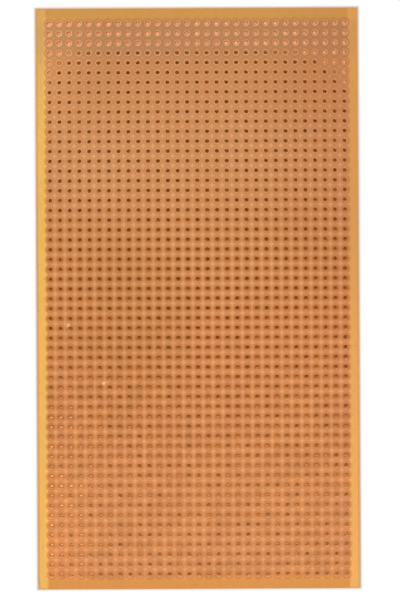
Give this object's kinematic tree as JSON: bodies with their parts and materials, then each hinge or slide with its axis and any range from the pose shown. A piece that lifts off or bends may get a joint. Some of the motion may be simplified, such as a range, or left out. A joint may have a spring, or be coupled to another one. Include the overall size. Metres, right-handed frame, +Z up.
{
  "type": "prototype circuit board",
  "caption": "Flat perforated prototype circuit board with a full grid of lead holes and a round copper solder pad at each hole.",
  "frame": {"origin": "middle of the board's underside", "axes": "+X across the board, +Y along it towards the picture's top edge, +Z up out of the copper side"},
  "size_m": [0.083, 0.15, 0.0016],
  "materials": {
    "laminate": "satin resin-bonded paper sheet, amber brown",
    "copper": "lacquered copper foil, slightly dulled"
  },
  "bodies": {
    "root": {"laminate": "laminate", "copper_pads_1": "copper", "copper_pads_2": "copper", "copper_pads_3": "copper"}
  },
  "joints": []
}
